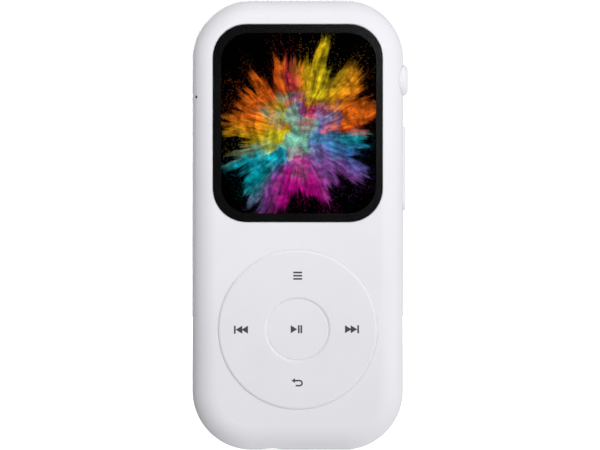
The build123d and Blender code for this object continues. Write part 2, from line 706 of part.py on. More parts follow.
nodes = {name: chip(*place_and_size) for name, place_and_size in CHIPS.items()}
nodes |= {
    "front_shell": front_shell(),
    "rear_shell": rear_shell(),
    "display_window": display_window(),
    "window_adhesive": window_adhesive(),
    "display_gasket": display_gasket(),
    "display_cell": display_cell(),
    "display_backlight": display_backlight(),
    "display_ribbon": display_ribbon(),
    "main_board": main_board(),
    "board_screws": board_screws(),
    "small_components": small_components(),
    "headphone_jack": headphone_jack(),
    "jack_contacts": jack_contacts(),
    "usb_port_shell": usb_port_shell(),
    "usb_port_tongue": usb_port_tongue(),
    "card_socket_base": card_socket_base(),
    "card_socket_cover": card_socket_cover(),
    "microphone": microphone(),
    "microphone_boot": microphone_boot(),
    "battery": battery(),
    "battery_adhesive": battery_adhesive(),
    "battery_board": battery_board(),
    "battery_lead_red": battery_lead(LEAD_PLACES["red"]),
    "battery_lead_black": battery_lead(LEAD_PLACES["black"]),
    "ring_switches": Compound([switch_body(x, z) for x, z in VERTICAL + HORIZONTAL]),
    "centre_switch": switch_body(0, RING_Z),
    "power_switch": side_switch(POWER_Z),
    "volume_switches": Compound([side_switch(z) for z in VOLUME_SWITCHES]),
    "rocker_pin": rocker_pin(),
    "keypad_pad": keypad_pad(),
    "vertical_plungers": Compound([plunger(x, z) for x, z in VERTICAL]),
    "control_ring": control_ring(),
    "horizontal_plungers": Compound([plunger(x, z) for x, z in HORIZONTAL]),
    "centre_button": centre_button(),
    "centre_plunger": plunger(0, RING_Z),
    "power_button": power_button(),
    "power_plunger": side_plunger(POWER_Z),
    "volume_rocker": volume_rocker(),
    "volume_plungers": Compound([side_plunger(z) for z in VOLUME_SWITCHES]),
}

for name, shape in nodes.items():
    export_step(shape, f"parts/{name}.step")
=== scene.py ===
import math

import bmesh
import bpy
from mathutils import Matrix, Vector


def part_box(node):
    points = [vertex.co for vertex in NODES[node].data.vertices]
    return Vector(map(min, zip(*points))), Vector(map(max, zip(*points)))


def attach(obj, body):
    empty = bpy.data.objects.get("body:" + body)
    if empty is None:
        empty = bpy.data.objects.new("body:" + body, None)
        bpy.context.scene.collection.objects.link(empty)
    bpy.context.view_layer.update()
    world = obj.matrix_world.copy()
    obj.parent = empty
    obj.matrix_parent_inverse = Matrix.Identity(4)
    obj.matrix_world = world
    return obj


# The looks of a pocket digital audio player, in metres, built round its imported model.
# +X is to the right as the display is read, -Y is the display side, and +Z is up along the casing.

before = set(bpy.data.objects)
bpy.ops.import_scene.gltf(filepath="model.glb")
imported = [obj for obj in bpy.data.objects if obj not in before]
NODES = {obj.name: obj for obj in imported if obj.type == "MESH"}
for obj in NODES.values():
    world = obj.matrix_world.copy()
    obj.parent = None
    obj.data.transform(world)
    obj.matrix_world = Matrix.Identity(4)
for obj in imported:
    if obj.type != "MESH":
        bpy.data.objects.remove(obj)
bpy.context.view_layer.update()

MM = 0.001

# Most values of a noise texture lie between these
NOISE_LOW = 0.3
NOISE_HIGH = 0.7

# Patches of wear on a surface are this much finer than its patches of colour
WEAR_FINENESS = 2.3

# Share of the light that clear glass mirrors straight on. It mirrors all of it at a grazing slant.
GLASS_MIRROR = 0.034

# Picture behind the window, and the black border printed round it
PICTURE_SIZE = (28.2 * MM, 32.8 * MM)
PICTURE_CORNER = 5.1 * MM
PICTURE_SHIFT = 0.18 * MM
BORDER_INSET = 0.02 * MM
BORDER_CORNER = 6.13 * MM
BURST_DROP = 2.4 * MM
PICTURE_OVERLAP = 0.3 * MM

# Wiper seals in the gaps round the ring and the centre button
RING_HOLE = 14.585 * MM
RING_LIP = 0.085 * MM
RING_SEAL_DEPTH = 0.05 * MM
CENTRE_HOLE = 5.64 * MM
CENTRE_LIP = 0.13 * MM
CENTRE_SEAL_DEPTH = 0.10 * MM
SEAL_HEIGHT = 0.25 * MM
SEAL_STEPS = 240

# Gauze in the microphone's pinhole, which comes out on the rounded left edge. It sits almost at the hole's
# mouth, and its near-black colour is painted shade for the dark pinhole
EDGE_RADIUS = 4.3 * MM
PINHOLE_SETBACK = 1.9 * MM
GAUZE_RADIUS = 0.277 * MM
GAUZE_SINK = 0.02 * MM
GAUZE_LENGTH = 0.4 * MM
GAUZE_STEPS = 24

# Contacts and marks inside the casing
TONGUE_HALF = 0.35 * MM
PAD_COUNT = 12
PAD_PITCH = 0.5 * MM
PAD_WIDTH = 0.26 * MM
PAD_RELIEF = 0.02 * MM
PAD_START = 0.5 * MM
PAD_LENGTH = 3.0 * MM
JACK_BORE = 1.8 * MM
SPRING_WIDTH = 0.8 * MM
SPRING_LENGTH = 3.2 * MM
SPRING_BOW = 0.35 * MM
SPRING_THICKNESS = 0.12 * MM
SPRING_STEPS = 12
# Each spring's direction in degrees, and how far it starts from the jack's mouth
SPRINGS = ((60, 3.4 * MM), (180, 6.2 * MM), (300, 9.0 * MM))
CAP_SHARE = 0.24
CAP_RELIEF = 0.02 * MM
DOT_INSET = 0.3 * MM
DOT_SHARE = 0.1
DOT_STEPS = 6
WELD = 0.001 * MM

# Printed symbols
INK = 0.012 * MM
SYMBOL_RADIUS = 10.0 * MM
SYMBOL_HEIGHT = 1.46 * MM
CORNER_STEPS = 10
BAR_WIDTH = 0.31 * MM
BAR_CORNER = 0.03 * MM
BAR_STEPS = 2
SKIP_END = 1.27 * MM
SKIP_HEAD = 1.20 * MM
SKIP_HEAD_PLACES = (0.92 * MM, 1.95 * MM)
PLAY_HEAD = 1.16 * MM
PLAY_HEAD_PLACE = 0.45 * MM
PLAY_BAR_PLACES = (0.44 * MM, 0.90 * MM)
MENU_BAR = (1.6 * MM, 0.3 * MM)
MENU_PITCH = 0.58 * MM
RETURN_BEND = 0.46 * MM
RETURN_BEND_PLACE = 0.33 * MM
RETURN_BEND_STEPS = 16
RETURN_HALF_STROKE = 0.145 * MM
RETURN_UPPER_END = 0.50 * MM
RETURN_LOWER_END = 0.36 * MM
RETURN_HEAD = (0.64 * MM, 0.86 * MM)
RETURN_HEAD_PLACE = 0.80 * MM

# How far each symbol lies off its even place round the centre button
MENU_DROP = 0.2 * MM
RETURN_RISE = 0.3 * MM
PREVIOUS_OUT = 0.3 * MM
NEXT_IN = 0.14 * MM
PLAY_LEFT = 0.24 * MM
MIDDLE_RISE = 0.08 * MM


# --- Meshes ---


def low(node):
    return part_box(node)[0]


def high(node):
    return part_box(node)[1]


def middle(node):
    return (low(node) + high(node)) / 2


def rounded_outline(x, z, width, height, radius, steps=CORNER_STEPS):
    """Points in X and Z round a rectangle with round corners, anticlockwise from its right side."""
    points = []
    corners = [(1, 1, 0), (-1, 1, 90), (-1, -1, 180), (1, -1, 270)]
    for side_x, side_z, start in corners:
        centre_x = x + side_x * (width / 2 - radius)
        centre_z = z + side_z * (height / 2 - radius)
        for step in range(steps + 1):
            turn = math.radians(start + 90 * step / steps)
            points.append((centre_x + radius * math.cos(turn), centre_z + radius * math.sin(turn)))
    return points


def new_object(name, mesh_builder, body, material):
    """A named piece from a filled bmesh, riding on a body and wearing the material it is given."""
    mesh = bpy.data.meshes.new(name)
    bmesh.ops.recalc_face_normals(mesh_builder, faces=mesh_builder.faces)
    mesh_builder.to_mesh(mesh)
    mesh_builder.free()
    piece = bpy.data.objects.new(name, mesh)
    bpy.context.scene.collection.objects.link(piece)
    mesh.materials.append(material)
    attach(piece, body)


def join_rings(builder, ring, following):
    """Faces between two closed rings of corners."""
    for a in range(len(ring)):
        b = (a + 1) % len(ring)
        builder.faces.new((ring[a], ring[b], following[b], following[a]))


def close_rings(builder, rings):
    """A closed solid through rings of corners, with a flat face on the first and on the last."""
    builder.faces.new(rings[0])
    builder.faces.new(list(reversed(rings[-1])))
    for ring, following in zip(rings, rings[1:]):
        join_rings(builder, ring, following)


def add_prism(builder, outline, front, back):
    """A closed solid with the outline's points in X and Z, from y = front to y = back."""
    near = [builder.verts.new((x, front, z)) for x, z in outline]
    far = [builder.verts.new((x, back, z)) for x, z in outline]
    close_rings(builder, [near, far])


def add_frame(builder, outer, inner, front, back):
    """A closed frame between two outlines that have the same number of points."""
    rings = []
    for outline, y in ((outer, front), (inner, front), (inner, back), (outer, back)):
        rings.append([builder.verts.new((x, y, z)) for x, z in outline])
    for ring, following in zip(rings, rings[1:] + rings[:1]):
        join_rings(builder, ring, following)


# --- Node trees ---


class Nodes:
    """A node tree, emptied first, with short calls to fill it."""

    def __init__(self, tree):
        self.tree = tree
        self.tree.nodes.clear()

    def add(self, kind, inputs=None, **settings):
        node = self.tree.nodes.new("ShaderNode" + kind)
        for name, value in settings.items():
            setattr(node, name, value)
        for key, value in (inputs or {}).items():
            self.feed(node.inputs[key], value)
        return node

    def feed(self, socket, value):
        if isinstance(value, bpy.types.NodeSocket):
            self.tree.links.new(value, socket)
        else:
            socket.default_value = value

    def math(self, operation, *values, clamp=False):
        node = self.add("Math", operation=operation, use_clamp=clamp)
        for socket, value in zip(node.inputs, values):
            self.feed(socket, value)
        return node.outputs[0]


class Tree(Nodes):
    """A material's node tree, with the nodes that the finishes share."""

    def __init__(self, name):
        self.material = bpy.data.materials.new(name)
        self.material.use_nodes = True
        super().__init__(self.material.node_tree)
        self.output = self.add("OutputMaterial")
        self.place = self.add("TexCoord").outputs["Object"]

    def vector(self, operation, *values, scale=None):
        node = self.add("VectorMath", operation=operation)
        for socket, value in zip(node.inputs, values):
            self.feed(socket, value)
        if scale is not None:
            self.feed(node.inputs["Scale"], scale)
        return node.outputs[0]

    def noise(self, where, scale, detail=3.0, roughness=0.5):
        inputs = {"Vector": where, "Scale": scale, "Detail": detail, "Roughness": roughness}
        return self.add("TexNoise", inputs).outputs[0]

    def drift(self, size, detail=3.0):
        """Noise over the surface, in patches of about one size."""
        return self.noise(self.place, 1 / size, detail)

    def cells(self, size, randomness=1.0):
        """Round cells of about one size over the surface: the node, with their distance and colour."""
        inputs = {"Vector": self.place, "Scale": 1 / size, "Randomness": randomness}
        return self.add("TexVoronoi", inputs)

    def remap(self, value, start, end, to_start=0.0, to_end=1.0, smooth=False):
        kind = "SMOOTHSTEP" if smooth else "LINEAR"
        inputs = {"Value": value, "From Min": start, "From Max": end, "To Min": to_start, "To Max": to_end}
        return self.add("MapRange", inputs, interpolation_type=kind).outputs[0]

    def spread(self, noise, low=0.0, high=1.0):
        """A noise value, which keeps near the middle of its range, spread from low to high."""
        return self.remap(noise, NOISE_LOW, NOISE_HIGH, low, high)

    def mix(self, factor, first, second):
        node = self.add("Mix", data_type="RGBA")
        for socket, value in zip((node.inputs[0], node.inputs[6], node.inputs[7]), (factor, first, second)):
            self.feed(socket, value)
        return node.outputs[2]

    def ramp(self, value, stops, ease="LINEAR"):
        """A colour for a value, from (position, colour) stops in order."""
        node = self.add("ValToRGB", {"Fac": value})
        ramp = node.color_ramp
        ramp.interpolation = ease
        while len(ramp.elements) < len(stops):
            ramp.elements.new(1.0)
        for element, (position, colour) in zip(ramp.elements, stops):
            element.position = position
            element.color = colour
        return node.outputs[0]

    def bump(self, height, distance, strength=1.0):
        inputs = {"Height": height, "Distance": distance, "Strength": strength}
        return self.add("Bump", inputs).outputs[0]

    def surface(self, shader):
        self.feed(self.output.inputs["Surface"], shader)
        return self.material

    def principled(self, colour, rough, **more):
        """The finished material. A value that is the same all over goes on the shader's own socket."""
        shader = self.add("BsdfPrincipled", {"Base Color": colour, "Roughness": rough})
        for name, value in more.items():
            self.feed(shader.inputs[name.replace("_", " ")], value)
        return self.surface(shader.outputs[0])


def rgb(red, green, blue):
    return (red, green, blue, 1.0)


def grey(value, tint=1.0):
    return (value, value, value * tint, 1.0)


def finish(name, light, dark, patch, roughness, spread, grain, depth, **sockets):
    """A moulded, coated or rolled surface. Its colour drifts from light to dark over patches, its
    roughness varies by spread either way, and a grain of the given size stands depth high."""
    tree = Tree(name)
    drift = tree.drift(patch, detail=4.0)
    colour = tree.mix(tree.spread(drift), light, dark)
    wear = tree.noise(tree.place, WEAR_FINENESS / patch, detail=5.0, roughness=0.6)
    rough = tree.spread(wear, roughness - spread, roughness + spread)
    height = tree.drift(grain, detail=2.0)
    return tree.principled(colour, rough, Normal=tree.bump(height, depth), **sockets)


# --- Finishes seen from outside ---


def white_plastic():
    return finish(
        "white_plastic", light=rgb(0.828, 0.819, 0.862), dark=rgb(0.805, 0.796, 0.838),
        patch=14 * MM, roughness=0.42, spread=0.05, grain=0.11 * MM, depth=0.0018 * MM,
        Specular_IOR_Level=0.45,
    )


def key_plastic():
    return finish(
        "key_plastic", light=rgb(0.818, 0.810, 0.850), dark=rgb(0.795, 0.787, 0.827),
        patch=9 * MM, roughness=0.38, spread=0.05, grain=0.09 * MM, depth=0.0014 * MM,
        Specular_IOR_Level=0.45,
    )


def symbol_ink():
    return finish(
        "symbol_ink", light=grey(0.062, 1.08), dark=grey(0.052, 1.08),
        patch=0.8 * MM, roughness=0.5, spread=0.08, grain=0.05 * MM, depth=0.001 * MM,
    )


def border_ink():
    return finish(
        "border_ink", light=grey(0.0030, 1.1), dark=grey(0.0022, 1.1),
        patch=12 * MM, roughness=0.20, spread=0.02, grain=0.12 * MM, depth=0.0005 * MM,
        Specular_IOR_Level=0.55,
    )


def window_glass():
    """Clear glass: what is behind shows through, and its faces mirror more at a slant."""
    tree = Tree("window_glass")
    smudge = tree.noise(tree.place, 180.0, detail=4.0, roughness=0.6)
    rough = tree.remap(smudge, 0.35, 0.75, 0.03, 0.07)
    normal = tree.bump(tree.noise(tree.place, 60.0, detail=1.0), 0.002 * MM)
    mirror = tree.add("BsdfGlossy", {"Roughness": rough, "Normal": normal, "Color": grey(0.9)})
    clear = tree.add("BsdfTransparent", {"Color": rgb(0.985, 0.99, 0.99)})
    slant = tree.add("LayerWeight", {"Blend": 0.5, "Normal": normal}).outputs["Facing"]
    steep = tree.math("POWER", slant, 5.0)
    share = tree.math("MULTIPLY_ADD", steep, 1 - GLASS_MIRROR, GLASS_MIRROR)
    both = tree.add("MixShader", {0: share, 1: clear.outputs[0], 2: mirror.outputs[0]})
    return tree.surface(both.outputs[0])


# --- Finishes inside ---


def black_tape():
    return finish(
        "black_tape", light=grey(0.030), dark=grey(0.018),
        patch=4 * MM, roughness=0.66, spread=0.08, grain=0.12 * MM, depth=0.004 * MM,
    )


def black_foam():
    """Closed-cell foam: round pores of many sizes in a soft black skin. The pores are painted darker than
    the skin, as painted shade in them.
    """
    tree = Tree("black_foam")
    pores = tree.cells(0.28 * MM).outputs["Distance"]
    skin = tree.remap(pores, 0.12, 0.45, smooth=True)
    # Painted shade: the colour darkens into each pore
    colour = tree.mix(skin, grey(0.012), grey(0.050))
    rough = tree.spread(tree.drift(2 * MM), 0.82, 0.95)
    return tree.principled(colour, rough, Normal=tree.bump(skin, 0.05 * MM))


def ruled_lines(tree, pitch, share):
    """Upright lines and level lines, each pitch apart and a share of it wide: 1 on a line, 0 between."""
    part = tree.add("SeparateXYZ", {0: tree.place})
    lines = []
    for axis in (0, 2):
        cell = tree.math("FRACT", tree.math("DIVIDE", part.outputs[axis], pitch))
        lines.append(tree.math("LESS_THAN", cell, share))
    return lines


def display_glass():
    """The dark polariser of the cell, over a fine grid of pixels."""
    tree = Tree("display_glass")
    grid = tree.math("MAXIMUM", *ruled_lines(tree, pitch=0.117 * MM, share=0.2))
    haze = tree.drift(6 * MM)
    dark = tree.mix(haze, rgb(0.012, 0.012, 0.016), rgb(0.020, 0.020, 0.026))
    colour = tree.mix(grid, dark, rgb(0.006, 0.006, 0.008))
    rough = tree.spread(haze, 0.10, 0.18)
    return tree.principled(colour, rough, Normal=tree.bump(haze, 0.002 * MM))


def backlight_film():
    """White moulding and silvery film, with the light guide's dots faint through it."""
    tree = Tree("backlight_film")
    dots = tree.cells(0.5 * MM, randomness=0.15)
    dot = tree.remap(dots.outputs["Distance"], 0.16, 0.24, 1.0, 0.0)
    drift = tree.drift(9 * MM)
    film = tree.mix(drift, rgb(0.72, 0.74, 0.76), rgb(0.80, 0.81, 0.82))
    colour = tree.mix(tree.math("MULTIPLY", dot, 0.4), film, grey(0.93))
    rough = tree.spread(drift, 0.24, 0.36)
    return tree.principled(colour, rough, Normal=tree.bump(dot, 0.004 * MM), Metallic=0.35)


def ribbon_film():
    """Amber polyimide over copper traces that run along it."""
    tree = Tree("ribbon_film")
    across = tree.add("SeparateXYZ", {0: tree.place}).outputs[0]
    cell = tree.math("FRACT", tree.math("DIVIDE", across, 0.5 * MM))
    trace = tree.remap(tree.math("PINGPONG", cell, 0.5), 0.16, 0.24, smooth=True)
    drift = tree.drift(3 * MM)
    film = tree.mix(drift, rgb(0.50, 0.20, 0.02), rgb(0.62, 0.28, 0.04))
    colour = tree.mix(trace, film, rgb(0.78, 0.38, 0.10))
    rough = tree.spread(drift, 0.26, 0.40)
    return tree.principled(colour, rough, Normal=tree.bump(trace, 0.012 * MM))


def board_mask():
    """Green solder mask over copper traces, with gold-plated holes between the layers."""
    tree = Tree("board_mask")
    upright, level = ruled_lines(tree, pitch=0.55 * MM, share=0.36)
    areas = tree.cells(5.5 * MM)
    kind = tree.add("SeparateXYZ", {0: areas.outputs["Color"]}).outputs[0]
    upright = tree.math("MULTIPLY", upright, tree.math("LESS_THAN", kind, 0.38))
    level = tree.math("MULTIPLY", level, tree.math("GREATER_THAN", kind, 0.66))
    trace = tree.math("MAXIMUM", upright, level)
    spots = tree.cells(2.3 * MM, randomness=0.8)
    hole = tree.math("LESS_THAN", spots.outputs["Distance"], 0.10)
    drift = tree.drift(10 * MM, detail=4.0)
    mask = tree.mix(drift, rgb(0.008, 0.080, 0.035), rgb(0.014, 0.115, 0.050))
    mask = tree.mix(trace, mask, rgb(0.035, 0.200, 0.080))
    colour = tree.mix(hole, mask, rgb(0.80, 0.60, 0.25))
    rough = tree.spread(drift, 0.28, 0.42)
    raised = tree.math("SUBTRACT", trace, hole)
    return tree.principled(colour, rough, Normal=tree.bump(raised, 0.02 * MM), Metallic=hole)


def gauze_painted_pinhole_shade():
    """Fine woven gauze, dark and dull, with the pits of its weave. Its near-black colour, darkest in the
    pits, is painted shade for the pinhole it plugs.
    """
    tree = Tree("gauze_painted_pinhole_shade")
    upright, level = ruled_lines(tree, pitch=0.07 * MM, share=0.5)
    weave = tree.math("MAXIMUM", upright, level)
    drift = tree.drift(0.3 * MM)
    thread = tree.mix(drift, grey(0.010), grey(0.018))
    # Painted shade: the gauze is near black, and darkest between its threads, standing for the shade in the
    # pinhole
    colour = tree.mix(weave, grey(0.004), thread)
    rough = tree.spread(drift, 0.75, 0.95)
    return tree.principled(colour, rough, Normal=tree.bump(weave, 0.01 * MM), Specular_IOR_Level=0.2)


def worked_metal(name, light, dark, roughness, lie, grain):
    """Metal with fine marks from rolling or turning. They are drawn out most where lie is smallest."""
    tree = Tree(name)
    marks = tree.noise(tree.vector("MULTIPLY", tree.place, lie), 1 / grain, detail=4.0, roughness=0.6)
    drift = tree.drift(3 * MM)
    colour = tree.mix(tree.spread(drift), light, dark)
    rough = tree.spread(marks, roughness - 0.07, roughness + 0.09)
    return tree.principled(colour, rough, Normal=tree.bump(marks, 0.006 * MM), Metallic=1.0)


def chip_moulding():
    return finish(
        "chip_moulding", light=grey(0.026), dark=grey(0.016),
        patch=2 * MM, roughness=0.62, spread=0.07, grain=0.07 * MM, depth=0.006 * MM,
    )


def ferrite_core():
    return finish(
        "ferrite_core", light=rgb(0.05, 0.045, 0.045), dark=grey(0.022),
        patch=0.5 * MM, roughness=0.72, spread=0.1, grain=0.1 * MM, depth=0.012 * MM,
    )


def tan_ceramic():
    return finish(
        "tan_ceramic", light=rgb(0.40, 0.27, 0.15), dark=rgb(0.30, 0.19, 0.10),
        patch=0.9 * MM, roughness=0.38, spread=0.07, grain=0.06 * MM, depth=0.003 * MM,
    )


def black_plastic():
    return finish(
        "black_plastic", light=grey(0.022), dark=grey(0.013),
        patch=5 * MM, roughness=0.46, spread=0.08, grain=0.10 * MM, depth=0.004 * MM,
    )


def silicone_rubber():
    return finish(
        "silicone_rubber", light=rgb(0.46, 0.46, 0.48), dark=rgb(0.38, 0.38, 0.41),
        patch=5 * MM, roughness=0.58, spread=0.08, grain=0.14 * MM, depth=0.004 * MM,
        Subsurface_Weight=0.15, Subsurface_Scale=0.4 * MM,
    )


def battery_foil():
    """Aluminium laminate, drawn tight over the cell, with shallow creases."""
    tree = Tree("battery_foil")
    bend = tree.drift(7 * MM, detail=2.0)
    crease = tree.math("ABSOLUTE", tree.math("SUBTRACT", tree.drift(9 * MM, detail=5.0), 0.5))
    height = tree.math("MULTIPLY_ADD", tree.remap(crease, 0.0, 0.06, smooth=True), 0.3, bend)
    colour = tree.mix(tree.spread(bend), rgb(0.62, 0.63, 0.66), rgb(0.74, 0.75, 0.77))
    rough = tree.spread(tree.drift(0.4 * MM), 0.28, 0.42)
    return tree.principled(colour, rough, Normal=tree.bump(height, 0.06 * MM, 0.6), Metallic=0.85)


def white_adhesive():
    return finish(
        "white_adhesive", light=rgb(0.78, 0.78, 0.73), dark=rgb(0.68, 0.68, 0.62),
        patch=3 * MM, roughness=0.6, spread=0.1, grain=0.3 * MM, depth=0.02 * MM,
    )


def amber_tape():
    """Glossy amber tape, drawn over the lumps of a small circuit strip."""
    tree = Tree("amber_tape")
    lumps = tree.cells(1.5 * MM, randomness=0.6)
    lump = tree.remap(lumps.outputs["Distance"], 0.25, 0.5, 1.0, 0.0, smooth=True)
    tape = tree.mix(lump, rgb(0.55, 0.27, 0.03), rgb(0.36, 0.17, 0.02))
    rough = tree.spread(tree.drift(1 * MM), 0.16, 0.30)
    return tree.principled(tape, rough, Normal=tree.bump(lump, 0.12 * MM))


def lead_insulation(name, light, dark):
    return finish(
        name, light=light, dark=dark,
        patch=1.5 * MM, roughness=0.34, spread=0.07, grain=0.2 * MM, depth=0.006 * MM,
    )


# --- The picture on the display ---

TEAL = rgb(0.0, 0.33, 0.38)
CYAN = rgb(0.01, 0.42, 0.55)
ORANGE = rgb(0.90, 0.16, 0.01)
AMBER = rgb(0.85, 0.30, 0.01)
BRICK = rgb(0.60, 0.06, 0.01)
OLIVE = rgb(0.55, 0.40, 0.01)
YELLOW = rgb(0.75, 0.52, 0.01)
CRIMSON = rgb(0.60, 0.02, 0.06)
MAGENTA = rgb(0.62, 0.005, 0.30)
PURPLE = rgb(0.28, 0.07, 0.36)
BLUE = rgb(0.05, 0.16, 0.50)
SKY = rgb(0.08, 0.30, 0.62)
LAVENDER = rgb(0.24, 0.15, 0.46)
MINT = rgb(0.28, 0.60, 0.32)
LEMON = rgb(0.66, 0.58, 0.02)
PINK = rgb(0.55, 0.12, 0.34)
PALE_MINT = rgb(0.22, 0.58, 0.40)

# Each plume of powder: its direction in degrees, anticlockwise from the right, how far it reaches in
# half-widths of the picture, its outer colour, and its colour near the middle
DIRECTION, REACH, OUTER, INNER = range(4)
PLUMES = [
    (0, 0.98, TEAL, SKY),
    (8, 0.84, BRICK, LAVENDER),
    (16, 1.02, ORANGE, LAVENDER),
    (30, 1.10, ORANGE, SKY),
    (46, 1.16, AMBER, PINK),
    (62, 1.06, OLIVE, CRIMSON),
    (77, 1.20, YELLOW, CRIMSON),
    (88, 0.92, AMBER, LAVENDER),
    (97, 1.06, CRIMSON, LAVENDER),
    (106, 1.00, ORANGE, MINT),
    (116, 0.80, BRICK, MINT),
    (127, 1.06, ORANGE, LEMON),
    (142, 1.04, ORANGE, MINT),
    (156, 1.00, ORANGE, AMBER),
    (172, 0.96, AMBER, LEMON),
    (186, 0.76, OLIVE, LEMON),
    (200, 1.06, TEAL, MINT),
    (212, 0.80, CYAN, TEAL),
    (226, 1.18, TEAL, CYAN),
    (240, 1.06, PURPLE, BLUE),
    (256, 0.98, MAGENTA, MAGENTA),
    (272, 0.90, MAGENTA, PINK),
    (287, 0.98, MAGENTA, MAGENTA),
    (304, 0.84, PURPLE, LAVENDER),
    (322, 0.98, PURPLE, LAVENDER),
    (342, 0.80, BLUE, SKY),
]
LONGEST_PLUME = 1.25

# How strongly noise moves the streaks' colours, the clumps' edge and the plumes' ends
STREAK_BLUR = 0.06
CLUMP_EDGE = 0.9
RAGGEDNESS = 0.75

# Light on the powder: where it is compared with, how strong its relief is, its level, and its darkest
LEE_SHIFT = (0.035, 0.0, 0.045)
RELIEF = 3.4
POWDER_LEVEL = 0.72
POWDER_DARKEST = 0.35
SPECK_LEVEL = 0.5


def round_the_circle(values):
    """Ramp stops for one value per plume, closed with the first value again."""
    stops = [(plume[DIRECTION] / 360, value) for plume, value in zip(PLUMES, values)]
    return stops + [(1.0, values[0])]


class Burst(Tree):
    """The node tree of the powder picture. Lengths are in half-widths of the picture."""

    def jitter(self, where, scale, amount):
        """A place moved about by noise."""
        noise = self.add("TexNoise", {"Vector": where, "Scale": scale, "Detail": 3.0}).outputs["Color"]
        shift = self.vector("SCALE", self.vector("SUBTRACT", noise, (0.5, 0.5, 0.5)), scale=amount)
        return self.vector("ADD", where, shift)

    def polar(self, where):
        """How far a place is from the middle, and its direction as a share of a full turn."""
        part = self.add("SeparateXYZ", {0: where})
        across, up = part.outputs[0], part.outputs[2]
        square = self.math("MULTIPLY_ADD", across, across, self.math("MULTIPLY", up, up))
        turn = self.math("DIVIDE", self.math("ARCTAN2", up, across), math.tau)
        return self.math("SQRT", square), self.math("FRACT", self.math("ADD", turn, 1.0))

    def streaks(self, where, radius, fineness, stretch, detail, roughness):
        """Noise drawn out along the radius."""
        direction = self.vector("MULTIPLY", self.vector("NORMALIZE", where), (1.0, 0.0, 1.0))
        along = self.add("CombineXYZ", {1: self.math("MULTIPLY", radius, stretch)}).outputs[0]
        place = self.vector("ADD", self.vector("SCALE", direction, scale=fineness), along)
        return self.noise(place, 1.0, detail, roughness)

    def billows(self, where):
        return self.noise(where, 5.0, detail=6.0, roughness=0.56)

    def off_centre(self, value):
        return self.math("SUBTRACT", value, 0.5)

    def round_ramp(self, turn, column):
        """A column of the plume table, read off all the way round the circle."""
        return self.ramp(turn, round_the_circle([plume[column] for plume in PLUMES]))


def powder_colours(tree, spot, radius, turn, fine, billow):
    """The colour of the plumes alone, and of the powder: clumps of one colour near the middle, with a
    pale heart, and streaks of the plumes' colours farther out."""
    blur = tree.math("ADD", tree.off_centre(billow), tree.off_centre(fine))
    blurred_turn = tree.math("MULTIPLY_ADD", blur, STREAK_BLUR, turn)
    streak_turn = tree.math("FRACT", tree.math("ADD", blurred_turn, 1.0))
    outer = tree.round_ramp(streak_turn, OUTER)
    cells = {"Vector": tree.jitter(spot, scale=7.0, amount=0.34), "Scale": 6.4, "Smoothness": 0.35}
    clump = tree.add("TexVoronoi", cells, feature="SMOOTH_F1")
    clump_radius, clump_turn = tree.polar(clump.outputs["Position"])
    inner = tree.round_ramp(clump_turn, INNER)
    heart = tree.remap(clump_radius, 0.13, 0.23, 0.92, 0.0)
    inner = tree.mix(heart, inner, PALE_MINT)
    edge = tree.math("MULTIPLY_ADD", tree.off_centre(billow), CLUMP_EDGE, radius)
    return outer, tree.mix(tree.remap(edge, 0.66, 0.34, smooth=True), outer, inner)


def plume_depth(tree, spot, radius, turn, fine):
    """How far inside the ragged end of its plume a place is. It's below zero outside."""
    broad = tree.streaks(spot, radius, fineness=3.5, stretch=0.8, detail=3.0, roughness=0.55)
    spikes = tree.streaks(spot, radius, fineness=9.0, stretch=0.5, detail=2.0, roughness=0.5)
    shares = [grey(plume[REACH] / LONGEST_PLUME) for plume in PLUMES]
    reach = tree.ramp(turn, round_the_circle(shares), "EASE")
    reach = tree.math("MULTIPLY", reach, LONGEST_PLUME)
    reach = tree.math("MULTIPLY", reach, tree.spread(broad, 0.86, 1.08))
    reach = tree.math("MULTIPLY", reach, tree.spread(spikes, 0.86, 1.13))
    ragged = tree.math("MULTIPLY_ADD", tree.off_centre(fine), RAGGEDNESS, radius)
    return tree.math("SUBTRACT", reach, ragged)


def powder_light(tree, spot, radius, fine, billow):
    """How bright the powder is, from billows shaded on one side, streaks away from the middle, and grain."""
    lee = tree.billows(tree.vector("ADD", spot, LEE_SHIFT))
    relief = tree.math("MULTIPLY_ADD", tree.math("SUBTRACT", billow, lee), RELIEF, POWDER_LEVEL)
    clouded = tree.math("MULTIPLY", relief, tree.spread(billow, 0.72, 1.2))
    clouded = tree.math("MAXIMUM", clouded, POWDER_DARKEST)
    streaked = tree.remap(fine, 0.35, 0.66, 0.34, 1.42)
    streaked = tree.mix(tree.remap(radius, 0.22, 0.5, smooth=True), grey(1.0), streaked)
    grain = tree.noise(spot, 70.0, detail=2.0, roughness=0.7)
    lit = tree.math("MULTIPLY", clouded, streaked)
    return tree.math("MULTIPLY", lit, tree.spread(grain, 0.72, 1.24))


def loose_specks(tree, spot, depth):
    """Specks round the plumes, thinner farther out: their brightness, and 0 between them."""
    specks = tree.add("TexVoronoi", {"Vector": spot, "Scale": 92.0})
    speck = tree.remap(specks.outputs["Distance"], 0.16, 0.34, 1.0, 0.0)
    chance = tree.add("SeparateXYZ", {0: specks.outputs["Color"]}).outputs[0]
    needed = tree.remap(depth, -0.34, 0.05, 1.0, 0.55, smooth=True)
    shown = tree.math("MULTIPLY", speck, tree.math("GREATER_THAN", chance, needed))
    return tree.math("MULTIPLY", shown, SPECK_LEVEL)


